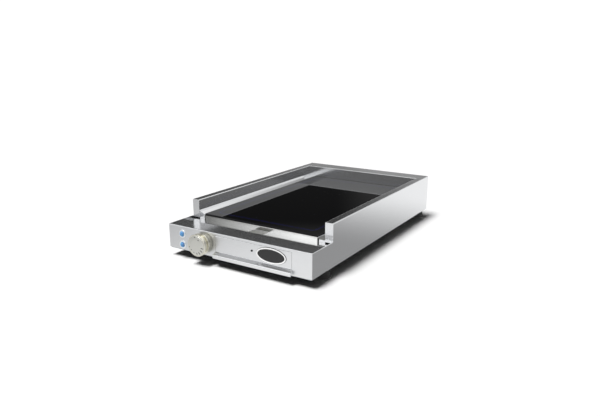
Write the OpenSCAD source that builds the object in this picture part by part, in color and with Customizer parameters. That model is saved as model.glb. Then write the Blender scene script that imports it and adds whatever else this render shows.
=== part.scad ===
// Counter-top electric griddle with a glass-ceramic plate, a hollow splash guard on
// three sides, a grease drawer under a drip hole, one thermostat knob and two pilot lamps.
// Everything is drawn from the body's front left bottom corner (x right, y back, z up),
// and placed() then moves it over the middle of its own footprint.

/* [Body] */
// Width of the body across the fascia
body_w = 400; // [392:2:460]
// Depth of the body from fascia to rear wall
body_d = 660; // [650:5:760]
// Height of the fascia
fascia_h = 58.2; // [57.6:0.2:64]
// Height of the splash guard above the fascia
guard_rise = 41.9; // [30:0.1:70]
// Width of the hollow splash guards at the sides
guard_w = 20; // [16:1:24]
// Depth of the hollow splash guard at the rear
rear_guard_w = 49; // [36:1:60]
// Distance from the fascia to the front of the splash guard
guard_y = 86; // [84:1:92]
// Depth of the polished strip behind the fascia
strip_d = 47.6; // [42:0.2:52]
// Drop from the strip to the gutter floor
gutter_drop = 6; // [3:0.5:7]
// Sheet thickness of the housing
sheet_t = 1.2; // [1:0.1:1.5]
// Inside radius of the sheet's bends
bend_r = 0.8; // [0.5:0.1:1]
// Width of the folds that the base plate is screwed to
fold_w = 30; // [28:1:36]
// Width of the rear wall's bottom fold
rear_fold_w = 20; // [16:1:30]

/* [Cooking plate] */
// Thickness of the glass-ceramic plate
glass_t = 4; // [3:0.5:5]
// Height of the plate's face above the fascia
glass_rise = 9.4; // [8:0.2:11]
// Gap round the plate's edge
glass_gap = 0.8; // [0.5:0.1:1.5]
// Width of the sloping cove between guard and plate
cove_w = 17; // [14:1:20]
// Rise of the cove's top edge above the plate's face
cove_rise = 5.8; // [5:0.2:14]
// Height of the cove's foot above the plate's underside
cove_lip = 0.6; // [0.4:0.1:1.5]
// Thickness of the silicone seal under the plate
seal_t = 0.6; // [0.5:0.1:1.2]
// Width of the silicone seal
seal_w = 10; // [6:1:14]
// Width of the ledge that carries the plate
ledge_w = 22; // [18:1:24]
// Width of the side folds under the ledge
under_w = 20; // [12:1:20]
// How far the gutter floor runs on under the lip
gutter_tuck = 14; // [8:1:16]

/* [Drip hole] */
// Distance of the drip hole from the left side
drip_x = 190; // [170:1:260]
// Width of the drip hole
drip_w = 41; // [30:1:50]
// Depth of the drip hole from front to back
drip_d = 24; // [18:1:26]
// Corner radius of the drip hole
drip_r = 3; // [2:0.5:6]
// Length of the spout under the drip hole
spout_h = 14; // [8:1:18]

/* [Drawer] */
// Distance of the drawer opening from the left side
drawer_x = 143; // [142:1:150]
// Width of the drawer opening
drawer_w = 207.5; // [190:0.5:210]
// Height of the drawer opening's top edge
drawer_top = 52.6; // [50:0.2:54]
// Height of the rail left under the drawer opening
rail_h = 8; // [7:0.5:8]
// Gap round the drawer front
seam = 0.5; // [0.4:0.1:1]
// Depth of the grease tray
tray_d = 188; // [150:1:190]
// Height of the grease tray
tray_h = 22; // [16:1:22]
// Sheet thickness of the grease tray
tray_t = 0.8; // [0.6:0.1:1]
// Corner radius of the grease tray
tray_r = 8; // [4:1:14]
// Width of the rim round the grease tray
rim_w = 3; // [2:0.5:3]
// How far the handle stands out of the fascia
handle_reach = 8.5; // [6:0.5:12]
// Height where the handle leaves the drawer front
handle_z = 13; // [12:0.2:14]
// Drop of the handle's slope to its lip
handle_drop = 5; // [3:0.5:6]
// How far the handle's ends stand past the opening
handle_over = 2.2; // [1:0.1:3]
// Diameter of the drawer screw's thread
drawer_screw_d = 3; // [2.5:0.5:4]
// Height of the drawer screw
drawer_screw_z = 36; // [34:1:40]

/* [Badge] */
// Distance of the bare badge's middle from the drawer opening's left edge
badge_x = 155; // [140:1:160]
// Height of the badge's middle
badge_z = 34; // [33:0.5:36]
// Width of the badge's rim
badge_w = 77; // [60:1:84]
// Height of the badge's rim
badge_h = 35; // [28:1:36]
// Width of the rim round the black field
badge_rim_w = 3.2; // [2:0.2:5]
// Thickness of the badge
badge_t = 1.4; // [1:0.1:2]

/* [Knob] */
// Distance of the knob's axis from the left side
knob_x = 106; // [104:1:108]
// Height of the knob's axis
knob_z = 28; // [27:0.5:29.5]
// Diameter of the knob's face
knob_d = 52; // [46:1:54]
// Distance of the knob's face from the fascia
knob_reach = 25; // [22:1:32]
// Diameter of the thermostat's spindle
spindle_d = 6; // [5:0.5:7]

/* [Pilot lamps] */
// Distance of the lamps from the left side
lamp_x = 43; // [40:1:46]
// Height of the lower lamp
lamp_z = 13; // [12:0.5:14]
// Distance between the lamps
lamp_pitch = 26.5; // [24:0.5:28]
// Diameter of the lamp bezel
bezel_d = 20; // [15:0.5:22]
// Diameter of the lamp lens
lens_d = 13.5; // [10:0.5:14]
// Length of the lamp behind the fascia
lamp_l = 26; // [20:1:32]

/* [Feet] */
// Height of the body's bottom edge above the table
foot_h = 20; // [16:1:30]
// Diameter of a foot at its top
foot_top_d = 34; // [28:1:38]
// Diameter of a foot at its bottom
foot_bottom_d = 44; // [38:1:45]
// Distance of the feet from the body's sides
foot_in = 23; // [23:0.5:24]
// Distance of the front feet from the fascia
foot_front_y = 75; // [60:1:90]
// Distance of the rear feet from the rear wall's outside
foot_rear_in = 23; // [23:1:60]
// Diameter of the foot screws
foot_screw_d = 6; // [5:0.5:6]

/* [Heaters] */
// Margin between the heater dishes and the ledge round them
heater_margin = 10; // [8:0.5:16]
// Gap between the two heater dishes
heater_gap = 6; // [4:1:20]
// Height of a heater dish
dish_h = 22.5; // [20:0.5:24]
// Sheet thickness of a heater dish
dish_t = 0.8; // [0.6:0.1:1]
// Corner radius of a heater dish
dish_r = 18; // [10:1:30]
// Thickness of the insulating bed
bed_t = 6; // [4:0.5:7]
// Width of the insulating wall
bed_wall = 12; // [8:1:16]
// Distance between the runs of the heating ribbon
ribbon_pitch = 14; // [12:1:20]
// Height of the heating ribbon
ribbon_h = 5; // [3:0.5:5]
// Thickness of the heating ribbon
ribbon_t = 0.8; // [0.6:0.1:1]
// Diameter of the limiter's tube
limiter_d = 4; // [3:0.5:4]

/* [Rear] */
// Distance of the cable gland from the left side
gland_x = 70; // [60:1:90]
// Height of the cable gland
gland_z = 27; // [24:1:32]
// Diameter of the gland's cable bore
gland_bore = 9; // [7:0.5:11]
// Diameter of the gland's thread
gland_thread = 16; // [15:0.5:20]
// How far the gland stands out of the rear wall
gland_out = 20; // [16:1:28]
// Length of a cooling slot
slot_l = 36; // [24:1:44]
// Width of a cooling slot
slot_w = 4; // [3:0.5:5]
// Distance between cooling slots
slot_pitch = 11; // [9:1:16]

/* [Hidden] */

$fn = 48;
// Overrun of a cut past the face that it opens
cut = 1;
// Clearance of a loose fit
loose = 0.3;
// Clearance of a turning fit
turning = 0.05;
// Segments of a sheet bend
bend_steps = 4;

// Heights that the pieces share
top_z = fascia_h + guard_rise;
gutter_z = fascia_h - gutter_drop;
glass_top = fascia_h + glass_rise;
glass_low = glass_top - glass_t;
ledge_top = glass_low - seal_t;
ledge_low = ledge_top - sheet_t;
cove_x = guard_w + cove_w;
cove_top = glass_top + cove_rise;
cove_fall = glass_t + cove_rise - cove_lip;
cove_angle = atan(cove_fall / cove_w);
rear_in = body_d - rear_guard_w;
foot_l = foot_h - sheet_t;
mid_y = (body_d + gland_out - knob_reach) / 2;

// Gutter and front panel
gutter_end = guard_y + gutter_tuck;
lip_gap = 2;
drip_back = 1;
drip_high = [drip_x + drip_w, guard_y - drip_back];
drip_low = drip_high - [drip_w, drip_d];

// Gap between the base plate's edge and the body's outside
base_in = 2;
// Height of the shelf that carries the tray, and its width
shelf_w = 11;
tray_lift = 1.3;
tray_z = rail_h + tray_lift;
shelf_z = tray_z - loose;
runner_gap = 1.6;
runner_end = 14;

// Heater stack, from the glass down
dish_low = glass_low - dish_h;
spring_h = 2.6;
strap_z = dish_low - spring_h;
strap_w = 20;
strap_tab = 15;
strap_share = 0.22;
ribbon_z = dish_low + dish_t + bed_t;
limiter_gap = 1.2;
limiter_z = ribbon_z + ribbon_h + limiter_d / 2 + limiter_gap;
heater_in = cove_x + ledge_w + heater_margin;
heater_y = guard_y + ledge_w + heater_margin;
heater_d = (rear_in - ledge_w - heater_margin - heater_gap - heater_y) / 2;

function placed_y(i) = heater_y + i * (heater_d + heater_gap);

// Straight lines through the middle of a sheet, with arcs where they meet
function left_of(d) = [-d[1], d[0]];
function unit(v) = v / norm(v);
function turn_of(a, b) = atan2(a[0] * b[1] - a[1] * b[0], a[0] * b[0] + a[1] * b[1]);
function spun(v, a) = [v[0] * cos(a) - v[1] * sin(a), v[0] * sin(a) + v[1] * cos(a)];
function bend_points(p, i, off, rc) =
    let (a = unit(p[i] - p[i - 1]),
         b = unit(p[i + 1] - p[i]),
         turn = turn_of(a, b),
         s = sign(turn),
         arm = rc * tan(abs(turn) / 2),
         centre = p[i] - a * arm + left_of(a) * s * rc)
    [for (k = [0 : bend_steps])
        centre - spun(left_of(a) * s, turn * k / bend_steps) * (rc - s * off)];
function sheet_side(p, off, rc) = concat(
    [p[0] + left_of(unit(p[1] - p[0])) * off],
    [for (i = [1 : len(p) - 2]) each bend_points(p, i, off, rc)],
    [p[len(p) - 1] + left_of(unit(p[len(p) - 1] - p[len(p) - 2])) * off]);
function reversed(p) = [for (i = [len(p) - 1 : -1 : 0]) p[i]];
function sheet_outline(p, t, r) = concat(
    sheet_side(p, t / 2, r + t / 2),
    reversed(sheet_side(p, -t / 2, r + t / 2)));

function arc(c, r, a, b, n) = [for (k = [0 : n])
    let (t = a + (b - a) * k / n) c + r * [cos(t), sin(t)]];
function oval(w, h, n) = [for (k = [0 : n - 1]) [w / 2 * cos(360 * k / n), h / 2 * sin(360 * k / n)]];

module placed() {
    translate([-body_w / 2, -mid_y, foot_h]) children();
}
module run_x(a, b) {
    translate([a, 0, 0]) rotate([90, 0, 90]) linear_extrude(b - a) children();
}
module run_y(a, b) {
    translate([0, b, 0]) rotate([90, 0, 0]) linear_extrude(b - a) children();
}
module run_z(a, b) {
    translate([0, 0, a]) linear_extrude(b - a) children();
}
module box_at(low, high) {
    translate(low) cube(high - low);
}
module post_y(x, z, a, b, r) {
    translate([x, a, z]) rotate([-90, 0, 0]) cylinder(h = b - a, r = r);
}
module post_z(x, y, a, b, r) {
    translate([x, y, a]) cylinder(h = b - a, r = r);
}
module flipped() {
    translate([body_w, 0, 0]) mirror([1, 0, 0]) children();
}
module soft_rect(low, high, r) {
    translate([low[0] + r, low[1]]) square([high[0] - low[0] - 2 * r, high[1] - low[1]]);
    translate([low[0], low[1] + r]) square([high[0] - low[0], high[1] - low[1] - 2 * r]);
    for (x = [low[0] + r, high[0] - r], y = [low[1] + r, high[1] - r]) {
        translate([x, y]) circle(r);
    }
}
module slot(l, w) {
    square([l - w, w], center = true);
    for (s = [-1, 1]) {
        translate([s * (l - w) / 2, 0]) circle(w / 2);
    }
}

// Housing: fascia, strip and gutter are one folded sheet between the side shells
lamp_hole = lens_d + 2 * loose;
spindle_clear = 2;
spindle_hole = spindle_d + 2 * spindle_clear;
bracket_screw_x = 15;
bracket_screw_d = 4;

module front_panel_plan() {
    polygon(concat(
        arc([sheet_t, sheet_t], sheet_t, 270, 180, bend_steps),
        [[sheet_t, sheet_t], [sheet_t, gutter_end],
         [body_w - sheet_t, gutter_end], [body_w - sheet_t, sheet_t]],
        arc([body_w - sheet_t, sheet_t], sheet_t, 0, -90, bend_steps)));
}
module front_panel() placed() color("gainsboro") {
    half = sheet_t / 2;
    joggle = gutter_drop;
    path = [[fold_w, half], [half, half], [half, fascia_h - half], [strip_d, fascia_h - half],
            [strip_d + joggle, gutter_z - half], [gutter_end, gutter_z - half]];
    difference() {
        intersection() {
            run_x(0, body_w) polygon(sheet_outline(path, sheet_t, bend_r));
            run_z(0, fascia_h) front_panel_plan();
        }
        box_at([drawer_x, -cut, rail_h], [drawer_x + drawer_w, sheet_t + cut, drawer_top]);
        run_z(gutter_z - sheet_t - cut, gutter_z + cut)
            soft_rect(drip_low, drip_high, drip_r);
        for (z = [lamp_z, lamp_z + lamp_pitch]) {
            post_y(lamp_x, z, -cut, sheet_t + cut, lamp_hole / 2);
        }
        post_y(knob_x, knob_z, -cut, sheet_t + cut, spindle_hole / 2);
        for (s = [-1, 1]) {
            post_y(knob_x + s * bracket_screw_x, knob_z, -cut, sheet_t + cut, bracket_screw_d / 2 + loose);
        }
        for (x = [0, body_w - fold_w]) {
            box_at([x, sheet_t, -cut], [x + fold_w, fold_w + cut, sheet_t + bend_r]);
        }
        for (x = base_front_x) {
            post_z(x, fold_w / 2, -cut, sheet_t + cut, base_screw_d / 2);
        }
    }
}

// Side shell: bottom fold, outer wall, hollow guard, cove and the fold under the plate
function cove_mid(x) = cove_top - (x - guard_w) * tan(cove_angle) - sheet_t / 2 / cos(cove_angle);
cap_edge = 0.4;
cap_foot = gutter_z + gutter_drop / 2;

module guard_cap_outline(inset) {
    r = bend_r + sheet_t - inset;
    polygon(concat(
        [[inset, cap_foot], [guard_w - inset, cap_foot]],
        arc([guard_w - inset - r, top_z - inset - r], r, 0, 90, bend_steps),
        arc([inset + r, top_z - inset - r], r, 90, 180, bend_steps)));
}
module side_shell() {
    half = sheet_t / 2;
    guard = [[fold_w, half], [half, half], [half, top_z - half], [guard_w - half, top_z - half],
             [guard_w - half, cove_mid(guard_w - half)], [cove_x - half, cove_mid(cove_x - half)],
             [cove_x - half, ledge_low - half], [cove_x + under_w, ledge_low - half]];
    wall = [[fold_w, half], [half, half], [half, fascia_h - sheet_t]];
    far_x = cove_x + under_w + cut;
    difference() {
        union() {
            intersection() {
                run_y(guard_y + half, body_d) polygon(sheet_outline(guard, sheet_t, bend_r));
                run_z(0, top_z) polygon([
                    [0, 0], [far_x, 0], [far_x, rear_in], [guard_w, rear_in],
                    [sheet_t, body_d - sheet_t], [0, body_d]]);
            }
            run_y(sheet_t, guard_y + sheet_t) {
                polygon(sheet_outline(wall, sheet_t, bend_r));
                polygon(concat([[sheet_t, fascia_h - sheet_t]],
                    arc([sheet_t, fascia_h - sheet_t], sheet_t, 90, 180, bend_steps)));
            }
            box_at([half, rear_in - cut, 0], [fold_w, body_d - sheet_t, sheet_t]);
            hull() {
                run_y(guard_y + cap_edge, guard_y + sheet_t) guard_cap_outline(0);
                run_y(guard_y, guard_y + cap_edge) guard_cap_outline(cap_edge);
            }
        }
        box_at([cove_x, guard_y, ledge_low - sheet_t - cut],
               [far_x, guard_y + sheet_t + bend_r + loose, ledge_top]);
        for (y = [foot_front_y, body_d - foot_rear_in]) {
            post_z(foot_in, y, -cut, sheet_t + cut, foot_screw_d / 2 + loose);
        }
        for (y = base_side_y) {
            post_z(fold_w / 2, y, -cut, sheet_t + cut, base_screw_d / 2);
        }
    }
}
module side_shell_left() placed() color("gainsboro") {
    side_shell();
}
module side_shell_right() placed() color("gainsboro") {
    flipped() side_shell();
}

// Rear shell: outer wall with cooling slots, guard top and inner wall
rear_slots = 9;
module rear_shell() placed() color("gainsboro") {
    half = sheet_t / 2;
    path = [[body_d - rear_fold_w, half], [body_d - half, half], [body_d - half, top_z - half],
            [rear_in + half, top_z - half], [rear_in + half, ledge_low - half],
            [rear_in - under_w, ledge_low - half]];
    edge_x = cove_x + under_w;
    difference() {
        intersection() {
            run_x(0, body_w) polygon(sheet_outline(path, sheet_t, bend_r));
            run_z(0, top_z) polygon([
                [0, body_d], [sheet_t, body_d - sheet_t], [guard_w, rear_in],
                [edge_x, rear_in], [edge_x, rear_in - under_w - cut],
                [body_w - edge_x, rear_in - under_w - cut], [body_w - edge_x, rear_in],
                [body_w - guard_w, rear_in], [body_w - sheet_t, body_d - sheet_t], [body_w, body_d]]);
        }
        for (x = [0, body_w - fold_w]) {
            box_at([x, rear_in - cut, -cut], [x + fold_w, body_d - sheet_t, sheet_t + bend_r]);
        }
        run_y(body_d - sheet_t - cut, body_d + cut) {
            for (k = [0 : rear_slots - 1]) {
                translate([body_w / 2 + (k + 1 - rear_slots / 2) * slot_pitch * 2, fascia_h / 2])
                    rotate(90) slot(slot_l, slot_w);
            }
        }
        post_y(gland_x, gland_z, body_d - sheet_t - cut, body_d + cut, gland_thread / 2 + loose);
        for (x = base_rear_x) {
            post_z(x, body_d - rear_fold_w / 2, -cut, sheet_t + cut, base_screw_d / 2);
        }
    }
}

// Base plate, screwed up against the folds
base_screw_d = 4;
base_head_d = 8;
base_head_h = 2.2;
base_screw_l = 7;
front_screw_share = [0.16, 0.84];
side_screw_share = [0.2, 0.5, 0.8];
rear_screw_share = [0.3, 0.7];
base_front_x = [for (s = front_screw_share) body_w * s];
base_side_y = [for (s = side_screw_share) body_d * s];
base_rear_x = [for (s = rear_screw_share) body_w * s];
base_slots = 5;

module base_plate() placed() color("silver") {
    run_z(-sheet_t, 0) difference() {
        soft_rect([base_in, base_in], [body_w - base_in, body_d - base_in], base_in);
        for (i = [0, 1], s = [-1, 1], k = [0 : base_slots - 1]) {
            translate([body_w / 2 + s * slot_l * 1.1,
                       placed_y(i) + heater_d / 2 + (k - (base_slots - 1) / 2) * slot_pitch])
                slot(slot_l, slot_w);
        }
        for (x = [foot_in, body_w - foot_in], y = [foot_front_y, body_d - foot_rear_in]) {
            translate([x, y]) circle(foot_screw_d / 2 + loose);
        }
        for (p = base_screw_places()) {
            translate(p) circle(base_screw_d / 2 + loose);
        }
        translate([earth_x, earth_y]) circle(earth_d / 2 + turning);
    }
}
function base_screw_places() = concat(
    [for (x = base_front_x) [x, fold_w / 2]],
    [for (y = base_side_y) each [[fold_w / 2, y], [body_w - fold_w / 2, y]]],
    [for (x = base_rear_x) [x, body_d - rear_fold_w / 2]],
    [for (x = [runner_foot_x(0), runner_foot_x(1)], y = runner_screw_y) [x, y]]);
module base_screws() placed() color("silver") {
    for (p = base_screw_places()) {
        translate([p[0], p[1], -sheet_t]) {
            cylinder(h = base_screw_l, r = base_screw_d / 2 - turning);
            translate([0, 0, -base_head_h])
                cylinder(h = base_head_h, r1 = base_head_d * 0.36, r2 = base_head_d / 2);
        }
    }
}

// Cooking plate on its seal and frame: it lies over the front lip and between the coves
glass_edge = 0.6;
glass_r = 2.4;
module plate_rect(inset) {
    soft_rect([cove_x + glass_gap + inset, guard_y + loose + inset],
              [body_w - cove_x - glass_gap - inset, rear_in - glass_gap - inset], glass_r);
}
module glass_plate() placed() color([0.07, 0.07, 0.08]) {
    hull() {
        run_z(glass_low, glass_top - glass_edge) plate_rect(0, $fn = 24);
        run_z(glass_top - glass_edge, glass_top) plate_rect(glass_edge, $fn = 24);
    }
}
module glass_seal() placed() color("black") {
    run_z(ledge_top, glass_low) difference() {
        plate_rect(glass_gap);
        plate_rect(glass_gap + seal_w);
    }
}
module glass_frame() placed() color("silver") {
    half = sheet_t / 2;
    lip = [[guard_y + half, gutter_z], [guard_y + half, ledge_top - half],
           [guard_y + ledge_w, ledge_top - half]];
    difference() {
        box_at([cove_x + bend_r, guard_y + sheet_t + loose, ledge_low],
               [body_w - cove_x - bend_r, rear_in - bend_r, ledge_top]);
        box_at([cove_x + ledge_w, guard_y + ledge_w, ledge_low - cut],
               [body_w - cove_x - ledge_w, rear_in - ledge_w, ledge_top + cut]);
        box_at([cove_x + lip_gap, guard_y, ledge_low - cut],
               [body_w - cove_x - lip_gap, guard_y + sheet_t + bend_r + loose, ledge_top + cut]);
    }
    run_x(cove_x + lip_gap, body_w - cove_x - lip_gap) polygon(sheet_outline(lip, sheet_t, bend_r));
}
module drip_spout() placed() color("silver") {
    out = [sheet_t, sheet_t];
    wide = [sheet_t * 3, 0];
    difference() {
        union() {
            run_z(gutter_z - sheet_t - spout_h, gutter_z - sheet_t)
                soft_rect(drip_low - out, drip_high + out, drip_r + sheet_t);
            run_z(gutter_z - sheet_t * 2, gutter_z - sheet_t)
                soft_rect(drip_low - out - wide, drip_high + out + wide, drip_r + sheet_t);
        }
        run_z(gutter_z - sheet_t - spout_h - cut, gutter_z) soft_rect(drip_low, drip_high, drip_r);
    }
}

// Radiant heaters
module dish_rect(i, inset) {
    soft_rect([heater_in + inset, placed_y(i) + inset],
              [body_w - heater_in - inset, placed_y(i) + heater_d - inset], dish_r - inset);
}
module heater_dish(i) placed() color("lightgray") {
    y = placed_y(i) + heater_d / 2;
    difference() {
        run_z(dish_low, glass_low - loose) dish_rect(i, 0);
        run_z(dish_low + dish_t, glass_low + cut) dish_rect(i, dish_t);
        translate([heater_in - cut, y, limiter_z]) rotate([0, 90, 0])
            cylinder(h = cut + dish_t + cut, r = limiter_d / 2 + loose);
    }
}
module heater_bed(i) placed() color("ivory") {
    y = placed_y(i) + heater_d / 2;
    difference() {
        run_z(dish_low + dish_t, glass_low - turning) dish_rect(i, dish_t);
        run_z(ribbon_z, glass_low + cut) dish_rect(i, dish_t + bed_wall);
        translate([heater_in, y, limiter_z]) rotate([0, 90, 0])
            cylinder(h = body_w - 2 * heater_in - bed_wall / 2, r = limiter_d / 2 + loose);
    }
}
function ribbon_runs() = 2 * floor((heater_d / 2 - dish_t - bed_wall - ribbon_pitch) / ribbon_pitch);
function ribbon_path(i) =
    let (runs = ribbon_runs(),
         x0 = heater_in + dish_t + bed_wall + ribbon_pitch,
         x1 = body_w - x0,
         y0 = placed_y(i) + heater_d / 2 - (runs - 1) * ribbon_pitch / 2)
    [for (k = [0 : runs - 1]) each (k % 2 == 0
        ? [[x0, y0 + k * ribbon_pitch], [x1, y0 + k * ribbon_pitch]]
        : [[x1, y0 + k * ribbon_pitch], [x0, y0 + k * ribbon_pitch]])];
module heater_ribbon(i) placed() color("orangered") {
    run_z(ribbon_z, ribbon_z + ribbon_h)
        polygon(sheet_outline(ribbon_path(i), ribbon_t, ribbon_pitch * 0.3));
}
limiter_head = [20, 14, 9];
module heat_limiter(i) placed() color("snow") {
    y = placed_y(i) + heater_d / 2;
    head_x = heater_in - loose;
    translate([head_x, y, limiter_z]) rotate([0, 90, 0])
        cylinder(h = body_w - 2 * heater_in - bed_wall / 2, r = limiter_d / 2);
    box_at([head_x - limiter_head[0], y - limiter_head[1] / 2, limiter_z - limiter_head[2] * 0.65],
           [head_x, y + limiter_head[1] / 2, limiter_z + limiter_head[2] * 0.35]);
    for (s = [-1, 1]) {
        tab_y = y + s * limiter_head[1] / 4;
        box_at([head_x - limiter_head[0] * 0.75, tab_y - sheet_t, limiter_z - limiter_head[2] * 1.3],
               [head_x - limiter_head[0] * 0.45, tab_y, limiter_z - limiter_head[2] * 0.6]);
    }
}
function strap_y(k) = placed_y(floor(k / 2)) + heater_d * (k % 2 == 0 ? strap_share : 1 - strap_share);
module heater_strap(k) placed() color("silver") {
    half = sheet_t / 2;
    path = [[sheet_t + half, strap_z - strap_tab], [sheet_t + half, strap_z - half],
            [body_w - sheet_t - half, strap_z - half], [body_w - sheet_t - half, strap_z - strap_tab]];
    run_y(strap_y(k) - strap_w / 2, strap_y(k) + strap_w / 2)
        polygon(sheet_outline(path, sheet_t, bend_r));
}
spring_t = 0.6;
spring_l = 44;
module heater_springs() placed() color("gray") {
    half = spring_t / 2;
    flat = spring_l * 0.14;
    crest = spring_l * 0.12;
    rise = spring_h - spring_t;
    for (k = [0 : 3], s = [-1, 1]) {
        translate([body_w / 2 + s * (body_w / 2 - heater_in) * 0.6, 0, strap_z])
            run_y(strap_y(k) - strap_w * 0.4, strap_y(k) + strap_w * 0.4)
                polygon(sheet_outline([
                    [-spring_l / 2, half], [-spring_l / 2 + flat, half], [-crest, half + rise],
                    [crest, half + rise], [spring_l / 2 - flat, half], [spring_l / 2, half]],
                    spring_t, bend_r));
    }
}

// Thermostat behind the knob
stat_size = [38, 24, 34];
stat_gap = 1.2;
stat_y = sheet_t * 2 + stat_gap;
stat_mid = stat_y + stat_size[1];
spindle_in = 12;
module thermostat_body() placed() color([0.16, 0.14, 0.12]) {
    difference() {
        union() {
            run_y(stat_y, stat_mid) soft_rect(
                [knob_x - stat_size[0] / 2, knob_z - stat_size[2] / 2],
                [knob_x + stat_size[0] / 2, knob_z + stat_size[2] / 2], 3 * sheet_t);
            post_y(knob_x, knob_z, sheet_t * 2, stat_y, spindle_d);
            for (k = [-1, 0, 1]) {
                x = knob_x + k * stat_size[0] / 4;
                z = knob_z - stat_size[2] * 0.3;
                box_at([x - sheet_t * 2, stat_mid, z],
                       [x + sheet_t * 2, stat_mid + sheet_t * 6, z + sheet_t]);
            }
        }
        post_y(knob_x, knob_z, 0, stat_y + spindle_in, spindle_d / 2 + turning);
    }
}
module thermostat_bracket() placed() color("silver") {
    half = sheet_t / 2;
    w = bracket_screw_x + bracket_screw_d * 1.5;
    path = [[knob_x - w, sheet_t + half + stat_size[1] / 2], [knob_x - w, sheet_t + half],
            [knob_x + w, sheet_t + half], [knob_x + w, sheet_t + half + stat_size[1] / 2]];
    difference() {
        run_z(knob_z - stat_size[2] * 0.35, knob_z + stat_size[2] * 0.35)
            polygon(sheet_outline(path, sheet_t, bend_r));
        post_y(knob_x, knob_z, 0, sheet_t * 2 + cut, spindle_hole / 2);
        for (x = [knob_x - bracket_screw_x, knob_x + bracket_screw_x]) {
            post_y(x, knob_z, 0, sheet_t * 2 + cut, bracket_screw_d / 2 + turning);
        }
    }
}
module thermostat_screws() placed() color("silver") {
    for (s = [-1, 1]) {
        post_y(knob_x + s * bracket_screw_x, knob_z, -bracket_screw_d * 0.45, 0, bracket_screw_d * 0.9);
        post_y(knob_x + s * bracket_screw_x, knob_z, 0, sheet_t * 2 + stat_gap * 0.7, bracket_screw_d / 2);
    }
}
knob_gap = 0.8;
knob_wall = 2.4;
knob_plate = 5;
boss_d = 14;
flat_share = 0.3;
module spindle_outline(r) {
    difference() {
        circle(r);
        translate([-r, -r - r * (1 - flat_share)]) square([2 * r, r]);
    }
}
module thermostat_spindle() placed() color("silver") {
    tip = knob_reach - knob_plate - knob_gap;
    difference() {
        post_y(knob_x, knob_z, -tip, stat_y + spindle_in - loose, spindle_d / 2);
        box_at([knob_x - spindle_d, -tip - cut, knob_z - spindle_d],
               [knob_x + spindle_d, -knob_gap, knob_z - spindle_d / 2 * (1 - flat_share)]);
    }
}

// Capillary and bulb, and other thin runs: a tube swept along hand-placed points
function smooth(p, n) = [for (i = [0 : len(p) - 2], k = [0 : n - 1])
    let (t = k / n,
         a = p[max(i - 1, 0)], b = p[i], c = p[i + 1], d = p[min(i + 2, len(p) - 1)])
    0.5 * (2 * b + (c - a) * t + (2 * a - 5 * b + 4 * c - d) * t * t + (3 * b - a - 3 * c + d) * t * t * t)];
tube_start_share = [0.31, 0.13, 0.94];
function ahead(p, i) = unit(p[min(i + 1, len(p) - 1)] - p[max(i - 1, 0)]);
function side_of(t, hint) = unit(hint - (hint * t) * t);
function frames(p, i, hint) = i == len(p) ? [] :
    let (t = ahead(p, i), u = side_of(t, hint))
    concat([[u, cross(t, u)]], frames(p, i + 1, u));
module tube_along(p, r, sides) {
    f = frames(p, 0, tube_start_share);
    n = len(p);
    points = [for (i = [0 : n - 1], k = [0 : sides - 1])
        p[i] + r * (cos(360 * k / sides) * f[i][0] + sin(360 * k / sides) * f[i][1])];
    walls = [for (i = [0 : n - 2], k = [0 : sides - 1])
        each [[i * sides + k, i * sides + (k + 1) % sides, (i + 1) * sides + (k + 1) % sides],
              [i * sides + k, (i + 1) * sides + (k + 1) % sides, (i + 1) * sides + k]]];
    ends = concat(
        [for (k = [1 : sides - 2]) [0, k + 1, k]],
        [for (k = [1 : sides - 2]) [(n - 1) * sides, (n - 1) * sides + k, (n - 1) * sides + k + 1]]);
    polyhedron(points, [for (w = concat(walls, ends)) reversed(w)]);
}
bulb_d = 4;
bulb_l = 92;
capillary_d = 1.6;
bulb_y = guard_y + ledge_w + heater_margin / 2;
bulb_z = ledge_low - bulb_d / 2;
bulb_out = 60;
bulb_x = knob_x + bulb_out;
capillary_start = [knob_x, stat_mid, knob_z + stat_size[2] / 4];
capillary_end = [bulb_x, bulb_y, bulb_z];
capillary_share = [[0, 0, 0], [0, 0.06, 0], [0, 0.12, 0], [0.1, 0.28, 0.22], [0.2, 0.5, 0.34],
                   [0.42, 0.78, 0.4], [0.74, 0.97, 1], [0.9, 1, 1], [1, 1, 1]];
capillary_route = [for (s = capillary_share)
    [for (k = [0 : 2]) capillary_start[k] + (capillary_end[k] - capillary_start[k]) * s[k]]];
module sensor_bulb() placed() color("peru") {
    translate([bulb_x, bulb_y, bulb_z]) rotate([0, 90, 0]) cylinder(h = bulb_l, r = bulb_d / 2);
    path = concat(smooth(capillary_route, 3), [capillary_end + [capillary_d, 0, 0]]);
    tube_along(path, capillary_d / 2, 8);
}
clip_w = 8;
clip_t = 0.8;
module bulb_clips() placed() color("silver") {
    r = bulb_d / 2 + clip_t / 2 + turning;
    half = clip_t / 2;
    hook = [[guard_y + ledge_w - clip_w, ledge_low - half], [bulb_y - r, ledge_low - half],
            [bulb_y - r, bulb_z - r], [bulb_y + r, bulb_z - r], [bulb_y + r, bulb_z + bulb_d / 4]];
    for (x = [bulb_x + bulb_l * 0.2, bulb_x + bulb_l * 0.8]) {
        run_x(x - clip_w / 2, x + clip_w / 2)
            polygon(sheet_outline(hook, clip_t, clip_t / 2));
    }
}

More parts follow.
